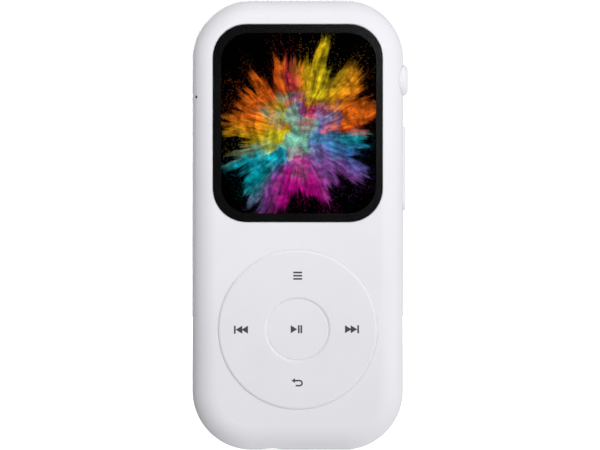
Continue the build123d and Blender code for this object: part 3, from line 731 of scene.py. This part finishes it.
def powder_picture():
    """A burst of coloured powder on black, drawn from the directions and lengths of its plumes."""
    tree = Burst("powder_picture")
    centre = (PICTURE_SHIFT, 0.0, middle("display_window").z - BURST_DROP)
    flat = tree.vector("MULTIPLY", tree.vector("SUBTRACT", tree.place, centre), (1.0, 0.0, 1.0))
    spot = tree.jitter(tree.vector("SCALE", flat, scale=2 / PICTURE_SIZE[0]), scale=2.6, amount=0.13)
    radius, turn = tree.polar(spot)
    fine = tree.streaks(spot, radius, fineness=13.0, stretch=1.5, detail=6.0, roughness=0.66)
    billow = tree.billows(spot)

    outer, powder = powder_colours(tree, spot, radius, turn, fine, billow)
    depth = plume_depth(tree, spot, radius, turn, fine)
    density = tree.remap(depth, -0.02, 0.15, smooth=True)
    lit = tree.math("MULTIPLY", powder_light(tree, spot, radius, fine, billow), density)
    colour = tree.vector("SCALE", powder, scale=lit)
    specks = tree.vector("SCALE", outer, scale=loose_specks(tree, spot, depth))
    colour = tree.vector("ADD", colour, specks)
    return tree.principled(
        grey(0.0), 0.6, Emission_Color=colour, Emission_Strength=1.0, Specular_IOR_Level=0.0
    )


def window_border(material):
    """The black border, printed on the back of the window."""
    back = high("display_window").y
    size = high("display_window") - low("display_window")
    z = middle("display_window").z
    outer = rounded_outline(0, z, size.x - 2 * BORDER_INSET, size.z - 2 * BORDER_INSET, BORDER_CORNER)
    inner = rounded_outline(PICTURE_SHIFT, z, *PICTURE_SIZE, PICTURE_CORNER)
    builder = bmesh.new()
    add_frame(builder, outer, inner, back - 2 * INK, back - INK / 2)
    new_object("window_border", builder, "casing", material)


def screen_picture(material):
    """The lit layer of the display, just in front of its cell."""
    front = low("display_cell").y
    size = (PICTURE_SIZE[0] + PICTURE_OVERLAP, PICTURE_SIZE[1] + PICTURE_OVERLAP)
    outline = rounded_outline(0, middle("display_window").z, *size, PICTURE_CORNER)
    builder = bmesh.new()
    add_prism(builder, outline, front - 2 * INK, front - INK / 2)
    new_object("screen_picture", builder, "casing", material)


# --- Wiper seals ---


def hoop_outline(x, z, radius):
    turns = [math.tau * step / SEAL_STEPS for step in range(SEAL_STEPS)]
    return [(x + radius * math.cos(turn), z + radius * math.sin(turn)) for turn in turns]


def wiper_seal(name, key_node, hole, lip, front, body, material):
    """A thin soft hoop that fills the gap between a key and its hole, just below the key's edge."""
    centre = middle(key_node)
    builder = bmesh.new()
    outlines = [hoop_outline(centre.x, centre.z, radius) for radius in (hole, hole - lip)]
    add_frame(builder, *outlines, front, front + SEAL_HEIGHT)
    new_object(name, builder, body, material)


def wiper_seals(material):
    """One seal lines the casing's hole round the ring, and one lines the ring's hole round the centre."""
    ring_front = low("front_shell").y + RING_SEAL_DEPTH
    centre_front = low("centre_button").y + CENTRE_SEAL_DEPTH
    wiper_seal("ring_seal", "control_ring", RING_HOLE, RING_LIP, ring_front, "casing", material)
    wiper_seal("centre_seal", "centre_button", CENTRE_HOLE, CENTRE_LIP, centre_front, "ring", material)


# --- Microphone gauze, with the pinhole's painted shade ---


def microphone_gauze_and_shade(material):
    """A plug of dark gauze in the pinhole. Its outer end follows the rounded edge of the casing, just inside
    the mouth, so that its near-black colour is painted shade for the pinhole.
    """
    turning = low("front_shell") + Vector((EDGE_RADIUS, EDGE_RADIUS, 0))
    centre_y = low("front_shell").y + PINHOLE_SETBACK
    centre_z = middle("microphone").z

    def edge_x(y):
        return turning.x - math.sqrt((EDGE_RADIUS - GAUZE_SINK) ** 2 - (y - turning.y) ** 2)

    builder = bmesh.new()
    rings = []
    for depth in (0, GAUZE_LENGTH):
        hub = builder.verts.new((edge_x(centre_y) + depth, centre_y, centre_z))
        rim = []
        for step in range(GAUZE_STEPS):
            turn = math.tau * step / GAUZE_STEPS
            y = centre_y + GAUZE_RADIUS * math.cos(turn)
            z = centre_z + GAUZE_RADIUS * math.sin(turn)
            rim.append(builder.verts.new((edge_x(y) + depth, y, z)))
        rings.append((hub, rim))
    (outer_hub, outer), (inner_hub, inner) = rings
    for a in range(GAUZE_STEPS):
        b = (a + 1) % GAUZE_STEPS
        builder.faces.new((outer_hub, outer[a], outer[b]))
        builder.faces.new((inner_hub, inner[b], inner[a]))
    join_rings(builder, outer, inner)
    new_object("microphone_gauze_and_shade", builder, "casing", material)


# --- Printed symbols ---


def bar(x, z, width, height):
    return rounded_outline(x, z, width, height, BAR_CORNER, BAR_STEPS)


def arrowhead(x, z, width, height, point):
    """A triangle whose tip is towards point, 1 for right and -1 for left."""
    base = x - point * width / 2
    tip = x + point * width / 2
    return [(tip, z), (base, z + height / 2), (base, z - height / 2)]


def skip_symbol(x, z, point):
    """Two triangles and a bar, pointing to one side."""
    outer_end = x + point * SKIP_END
    pieces = [bar(outer_end - point * BAR_WIDTH / 2, z, BAR_WIDTH, SYMBOL_HEIGHT)]
    for place in SKIP_HEAD_PLACES:
        pieces.append(arrowhead(outer_end - point * place, z, SKIP_HEAD, SYMBOL_HEIGHT, point))
    return pieces


def play_symbol(x, z):
    """A triangle and two bars."""
    pieces = [arrowhead(x - PLAY_HEAD_PLACE, z, PLAY_HEAD, SYMBOL_HEIGHT, 1)]
    for place in PLAY_BAR_PLACES:
        pieces.append(bar(x + place, z, BAR_WIDTH, SYMBOL_HEIGHT))
    return pieces


def menu_symbol(x, z):
    """Three level bars."""
    return [bar(x, z + step * MENU_PITCH, *MENU_BAR) for step in (-1, 0, 1)]


def return_symbol(x, z):
    """An arrow that comes back to the left from a half turn."""
    bend_x = x + RETURN_BEND_PLACE
    turns = [math.radians(90 - 180 * step / RETURN_BEND_STEPS) for step in range(RETURN_BEND_STEPS + 1)]
    outside = RETURN_BEND + RETURN_HALF_STROKE
    inside = RETURN_BEND - RETURN_HALF_STROKE
    outline = [(x - RETURN_UPPER_END, z + outside)]
    outline += [(bend_x + outside * math.cos(turn), z + outside * math.sin(turn)) for turn in turns]
    outline += [(x - RETURN_LOWER_END, z - outside), (x - RETURN_LOWER_END, z - inside)]
    outline += [(bend_x + inside * math.cos(turn), z + inside * math.sin(turn)) for turn in reversed(turns)]
    outline.append((x - RETURN_UPPER_END, z + inside))
    return [outline, arrowhead(x - RETURN_HEAD_PLACE, z + RETURN_BEND, *RETURN_HEAD, -1)]


def print_symbol(name, outlines, node, body, material):
    """A thin print on the front face of a key."""
    face = low(node).y
    builder = bmesh.new()
    for outline in outlines:
        add_prism(builder, outline, face - INK, face + INK)
    new_object(name, builder, body, material)


def print_symbols(material):
    key = middle("centre_button")
    right = key.x + SYMBOL_RADIUS
    left = key.x - SYMBOL_RADIUS
    top = key.z + SYMBOL_RADIUS
    bottom = key.z - SYMBOL_RADIUS
    on_ring = [
        ("menu_print", menu_symbol(key.x, top - MENU_DROP)),
        ("return_print", return_symbol(key.x, bottom + RETURN_RISE)),
        ("previous_print", skip_symbol(left - PREVIOUS_OUT, key.z, -1)),
        ("next_print", skip_symbol(right - NEXT_IN, key.z + MIDDLE_RISE, 1)),
    ]
    for name, outlines in on_ring:
        print_symbol(name, outlines, "control_ring", "ring", material)
    play = play_symbol(key.x - PLAY_LEFT, key.z + MIDDLE_RISE)
    print_symbol("play_print", play, "centre_button", "centre", material)


# --- Contacts and marks inside ---


def add_block(builder, lowest, highest):
    """A closed box between two corners."""
    left, front, bottom = lowest
    right, back, top = highest
    add_prism(builder, [(left, bottom), (right, bottom), (right, top), (left, top)], front, back)


def usb_pads(material):
    """Twelve contacts on each face of the port's tongue, seen as plain strips."""
    place = middle("usb_port_tongue")
    tip = low("usb_port_tongue").z
    builder = bmesh.new()
    for side in (-1, 1):
        face = place.y + side * TONGUE_HALF
        for count in range(PAD_COUNT):
            x = place.x + (count - (PAD_COUNT - 1) / 2) * PAD_PITCH
            lowest = (x - PAD_WIDTH / 2, face - PAD_RELIEF, tip + PAD_START)
            highest = (x + PAD_WIDTH / 2, face + PAD_RELIEF, tip + PAD_START + PAD_LENGTH)
            add_block(builder, lowest, highest)
    new_object("usb_contact_pads", builder, "casing", material)


def jack_springs(material):
    """Three bent leaf springs in the headphone jack's bore, each bowed towards the plug."""
    place = middle("headphone_jack")
    mouth = low("headphone_jack").z
    builder = bmesh.new()
    for turn, start in SPRINGS:
        outward = Vector((math.cos(math.radians(turn)), math.sin(math.radians(turn)), 0))
        across = Vector((-outward.y, outward.x, 0)) * SPRING_WIDTH / 2
        rows = []
        for step in range(SPRING_STEPS + 1):
            share = step / SPRING_STEPS
            bow = SPRING_BOW * math.sin(math.pi * share)
            spine = Vector((place.x, place.y, mouth + start + SPRING_LENGTH * share))
            outer = spine + outward * (JACK_BORE - bow)
            inner = outer - outward * SPRING_THICKNESS
            corners = (outer - across, outer + across, inner + across, inner - across)
            rows.append([builder.verts.new(corner) for corner in corners])
        close_rings(builder, rows)
    new_object("jack_springs", builder, "casing", material)


def solids_of(node):
    """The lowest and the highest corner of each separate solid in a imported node."""
    builder = bmesh.new()
    builder.from_mesh(NODES[node].data)
    bmesh.ops.remove_doubles(builder, verts=builder.verts, dist=WELD)
    waiting = set(builder.verts)
    boxes = []
    for first in list(builder.verts):
        if first not in waiting:
            continue
        waiting.discard(first)
        found = [first]
        for vert in found:
            for edge in vert.link_edges:
                other = edge.other_vert(vert)
                if other in waiting:
                    waiting.discard(other)
                    found.append(other)
        lowest = [min(vert.co[axis] for vert in found) for axis in range(3)]
        highest = [max(vert.co[axis] for vert in found) for axis in range(3)]
        boxes.append((lowest, highest))
    builder.free()
    return boxes


def component_ends(material):
    """Tinned caps on both ends of each small component."""
    builder = bmesh.new()
    for lowest, highest in solids_of("small_components"):
        long_way = 0 if highest[0] - lowest[0] > highest[2] - lowest[2] else 2
        cap = (highest[long_way] - lowest[long_way]) * CAP_SHARE
        for end in (0, 1):
            near = [value - CAP_RELIEF for value in lowest]
            far = [value + CAP_RELIEF for value in highest]
            near[1] = lowest[1]
            if end:
                near[long_way] = highest[long_way] - cap
            else:
                far[long_way] = lowest[long_way] + cap
            add_block(builder, near, far)
    new_object("component_ends", builder, "casing", material)


def chip_dots(material):
    """A printed dot in the first corner of each chip."""
    builder = bmesh.new()
    for chip in ("processor_chip", "memory_chip", "radio_chip", "charger_chip"):
        size = high(chip) - low(chip)
        inset = DOT_INSET + DOT_SHARE * min(size.x, size.z)
        radius = DOT_SHARE * min(size.x, size.z) / 2
        x, z = low(chip).x + inset, high(chip).z - inset
        dot = rounded_outline(x, z, 2 * radius, 2 * radius, radius, DOT_STEPS)
        face = high(chip).y
        add_prism(builder, dot, face - INK, face + INK)
    new_object("chip_dots", builder, "casing", material)


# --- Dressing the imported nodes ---


def dress(material, *names):
    for name in names:
        mesh = NODES[name].data
        mesh.materials.clear()
        mesh.materials.append(material)


def dress_outside(plastic, keys):
    dress(plastic, "front_shell", "rear_shell")
    dress(keys, "control_ring", "centre_button", "power_button", "volume_rocker")
    dress(window_glass(), "display_window")


def dress_display():
    dress(black_tape(), "window_adhesive")
    dress(black_foam(), "display_gasket")
    dress(display_glass(), "display_cell")
    dress(backlight_film(), "display_backlight")
    dress(ribbon_film(), "display_ribbon")


def dress_board(steel, plated, gold):
    dress(board_mask(), "main_board")
    dress(steel, "board_screws", "usb_port_shell", "card_socket_cover", "rocker_pin")
    dress(plated, "crystal", "microphone")
    dress(gold, "jack_contacts")
    dress(chip_moulding(), "processor_chip", "memory_chip", "radio_chip", "charger_chip")
    dress(ferrite_core(), "power_inductor")
    dress(tan_ceramic(), "antenna", "small_components")
    dress(
        black_plastic(), "headphone_jack", "usb_port_tongue", "card_socket_base", "ring_switches",
        "centre_switch", "power_switch", "volume_switches", "vertical_plungers", "horizontal_plungers",
        "centre_plunger", "power_plunger", "volume_plungers",
    )
    dress(silicone_rubber(), "microphone_boot", "keypad_pad")


def dress_battery():
    red = lead_insulation("red_insulation", rgb(0.42, 0.008, 0.008), rgb(0.33, 0.006, 0.006))
    black = lead_insulation("black_insulation", grey(0.024), grey(0.016))
    dress(battery_foil(), "battery")
    dress(white_adhesive(), "battery_adhesive")
    dress(amber_tape(), "battery_board")
    dress(red, "battery_lead_red")
    dress(black, "battery_lead_black")


keys = key_plastic()
steel = worked_metal(
    "nickelled_steel", light=grey(0.56, 1.01), dark=grey(0.47),
    roughness=0.30, lie=(1.0, 1.0, 0.08), grain=0.05 * MM,
)
plated = worked_metal(
    "plated_can", light=grey(0.66, 0.97), dark=grey(0.58, 0.97),
    roughness=0.26, lie=(1.0, 1.0, 1.0), grain=0.09 * MM,
)
gold = worked_metal(
    "gold_plate", light=rgb(0.83, 0.60, 0.24), dark=rgb(0.76, 0.53, 0.20),
    roughness=0.22, lie=(1.0, 1.0, 0.2), grain=0.06 * MM,
)
dress_outside(white_plastic(), keys)
dress_display()
dress_board(steel, plated, gold)
dress_battery()
window_border(border_ink())
screen_picture(powder_picture())
wiper_seals(keys)
microphone_gauze_and_shade(gauze_painted_pinhole_shade())
print_symbols(symbol_ink())
usb_pads(gold)
jack_springs(gold)
component_ends(plated)
chip_dots(symbol_ink())


# --- Stage, lights and camera ---

WHITE = grey(1.0)
FLOOR_RADIUS = 4.0
FLOOR_SEGMENTS = 96
FLOOR_GLOW = 0.78

# World light: all round, from the right, and from below. FRONT_FADE is how fast it fades towards the
# camera, and FRONT_REST is what is left there. BACKDROP_LIGHT is what the camera sees.
ALL_ROUND_LIGHT = 0.20
RIGHT_LIGHT = 0.615
RIGHT_SLOPE = 0.9
RIGHT_START = 0.45
LOW_LIGHT = 0.36
FRONT_FADE = 4.0
FRONT_REST = 0.01
BACKDROP_LIGHT = 1.06

# Square area lights, each turned to a point. One that isn't mirrored gives no highlight.
CASING_AIM = (0, 0, 0.045)
SOFTBOXES = {
    "front_fill": {
        "place": (0.0, -1.2, 0.022), "aim": (0, 0, 0.022), "size": 0.06, "power": 3.9, "mirrored": False,
    },
    "upper_left_fill": {
        "place": (-0.045, -0.055, 0.066), "aim": (-0.01, 0, 0.066), "size": 0.03, "power": 0.0049,
        "mirrored": False,
    },
    "upper_right_fill": {
        "place": (0.035, -0.055, 0.066), "aim": (0.01, 0, 0.066), "size": 0.03, "power": 0.0020,
        "mirrored": False,
    },
    "top_fill": {
        "place": (0.0, -0.22, 0.28), "aim": CASING_AIM, "size": 0.2, "power": 0.316, "mirrored": False,
    },
    "key": {
        "place": (0.080, -0.30, 0.098), "aim": CASING_AIM, "size": 0.06, "power": 0.09, "mirrored": True,
    },
    "back_fill": {
        "place": (-0.22, 1.2, 0.35), "aim": CASING_AIM, "size": 0.7, "power": 7.0, "mirrored": True,
    },
}

CAMERA_LENS = 300.0
CAMERA_SENSOR = 36.0
CAMERA_NEAR = 0.05
CAMERA_FAR = 50.0
CAMERA_ASIDE = 0.42 * MM
CAMERA_DISTANCE = 912.4 * MM


def stage_floor():
    """A round pale floor that fades to plain white."""
    tree = Tree("floor_white")
    wash = tree.noise(tree.place, 6.0, detail=2.0)
    colour = tree.mix(wash, grey(0.80), grey(0.82))
    white = tree.principled(
        colour, 0.9, Emission_Color=WHITE, Emission_Strength=FLOOR_GLOW, Specular_IOR_Level=0.0
    )
    builder = bmesh.new()
    bmesh.ops.create_circle(builder, cap_ends=True, segments=FLOOR_SEGMENTS, radius=FLOOR_RADIUS)
    mesh = bpy.data.meshes.new("floor")
    builder.to_mesh(mesh)
    builder.free()
    mesh.materials.append(white)
    floor = bpy.data.objects.new("floor", mesh)
    bpy.context.scene.collection.objects.link(floor)
    floor.visible_glossy = False
    floor.visible_diffuse = False


def studio_world():
    """White to the camera. On the object it is soft light from all round, stronger from the right and
    from below, and dark straight in front, so that the window stays black."""
    world = bpy.data.worlds.new("studio")
    world.use_nodes = True
    tree = Nodes(world.node_tree)
    direction = tree.add("TexCoord").outputs["Generated"]
    rightward, backward, upward = tree.add("SeparateXYZ", {0: direction}).outputs
    right = tree.math("MULTIPLY_ADD", rightward, RIGHT_SLOPE, RIGHT_START, clamp=True)
    soft = tree.math("MULTIPLY_ADD", right, RIGHT_LIGHT, ALL_ROUND_LIGHT)
    below = tree.math("MULTIPLY", upward, -1.0, clamp=True)
    soft = tree.math("MULTIPLY_ADD", below, LOW_LIGHT, soft)
    from_front = tree.math("ADD", backward, 1.0)
    off_front = tree.math("MULTIPLY_ADD", from_front, FRONT_FADE, FRONT_REST, clamp=True)
    soft = tree.math("MULTIPLY", soft, off_front)
    seen = tree.add("LightPath").outputs["Is Camera Ray"]
    backdrop = tree.math("MULTIPLY", seen, BACKDROP_LIGHT)
    strength = tree.math("MAXIMUM", soft, backdrop)
    background = tree.add("Background", {"Color": WHITE, "Strength": strength})
    tree.add("OutputWorld", {"Surface": background.outputs[0]})
    bpy.context.scene.world = world


def softbox(name, place, aim, size, power, mirrored):
    light = bpy.data.lights.new(name, "AREA")
    light.size = size
    light.energy = power
    lamp = bpy.data.objects.new(name, light)
    lamp.location = place
    lamp.rotation_euler = (Vector(aim) - Vector(place)).to_track_quat("-Z", "Y").to_euler()
    lamp.visible_glossy = mirrored
    lamp.visible_camera = False
    bpy.context.scene.collection.objects.link(lamp)


def studio_camera():
    """Level and square to the display, far enough off for the casing to look flat."""
    camera = bpy.data.cameras.new("camera")
    camera.lens = CAMERA_LENS
    camera.sensor_width = CAMERA_SENSOR
    camera.clip_start = CAMERA_NEAR
    camera.clip_end = CAMERA_FAR
    eye = bpy.data.objects.new("camera", camera)
    eye.location = (CAMERA_ASIDE, -CAMERA_DISTANCE, middle("rear_shell").z)
    eye.rotation_euler = (math.radians(90), 0, 0)
    bpy.context.scene.collection.objects.link(eye)
    bpy.context.scene.camera = eye


stage_floor()
studio_world()
for name, settings in SOFTBOXES.items():
    softbox(name, **settings)
studio_camera()
bpy.context.scene.view_settings.view_transform = "Standard"
